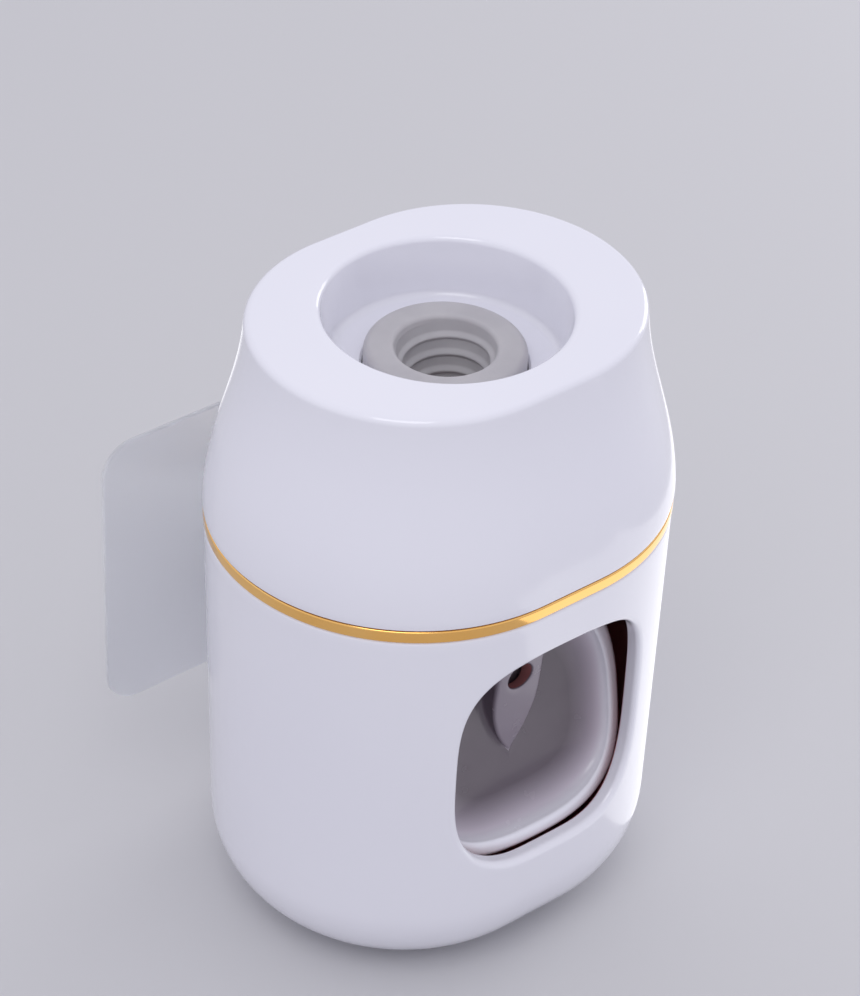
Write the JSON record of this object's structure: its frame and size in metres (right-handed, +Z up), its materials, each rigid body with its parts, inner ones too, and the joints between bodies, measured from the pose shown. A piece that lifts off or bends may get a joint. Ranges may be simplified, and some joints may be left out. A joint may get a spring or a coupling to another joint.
{
  "type": "toothpaste dispenser",
  "caption": "Wall-hung hand-operated toothpaste dispenser: a brush pushes a hinged plate in the front opening, which works a diaphragm pump fed from a tube in the top.",
  "frame": {"origin": "centre of the adhesive sheet's back face, where it meets the wall", "axes": "+Z up, +Y into the wall, the front with the brush opening faces -Y, +X to the right seen from the front"},
  "size_m": [0.075, 0.0636, 0.103],
  "materials": {
    "gloss_white": "gloss white moulded ABS",
    "gold": "polished gold plating",
    "clear_sheet": "clear adhesive sheet",
    "hook_plastic": "plain moulded ABS",
    "core_plastic": "plain moulded ABS, dark maroon",
    "silicone": "matt translucent silicone",
    "steel": "stainless steel"
  },
  "bodies": {
    "wall_mount": {"adhesive_sheet": "clear_sheet", "hook_plate": "hook_plastic"},
    "housing": {"lower_shell": "gloss_white", "trim_ring": "gold", "core_deck": "core_plastic", "deck_screws": "steel", "plug_seat": "core_plastic", "inlet_plug": "silicone", "plug_retainer": "core_plastic", "inlet_seal": "silicone", "valve_cage": "core_plastic", "pump_chamber": "core_plastic", "chamber_screws": "steel", "diaphragm": "silicone", "clamp_ring": "core_plastic", "clamp_screws": "steel", "outlet_valve": "silicone", "spout": "core_plastic", "hinge_pin": "steel", "return_springs": "steel"},
    "cover": {"upper_shell": "gloss_white"},
    "push_plate": {"push_plate": "gloss_white", "presser_pad": "silicone"},
    "plunger": {"plunger": "core_plastic"},
    "inlet_valve": {"inlet_valve": "silicone"}
  },
  "joints": [
    {"name": "lift_off", "type": "slide", "parent": "wall_mount", "child": "housing", "axis": [0, 0, 1], "range_m": [0, 0.0065]},
    {"name": "cover_lift", "type": "slide", "parent": "housing", "child": "cover", "axis": [0, 0, 1], "range_m": [0, 0.03]},
    {"name": "plate_swing", "type": "hinge", "parent": "housing", "child": "push_plate", "pos_m": [0, -0.047, 0.0142], "axis": [1, 0, 0], "range_deg": [0, 12], "stiffness_Nm_per_rad": 0.03, "springref_deg": -20.05, "deforming": ["return_springs"]},
    {"name": "plunger_press", "type": "slide", "parent": "housing", "child": "plunger", "axis": [0, 1, 0], "range_m": [0, 0.0077], "deforming": ["diaphragm"]},
    {"name": "valve_float", "type": "slide", "parent": "housing", "child": "inlet_valve", "axis": [0, 0, 1], "range_m": [0, 0.0015]}
  ],
  "couplings": [
    {"joint": "plunger_press", "follows": "plate_swing", "m_per_rad": 0.036223}
  ]
}
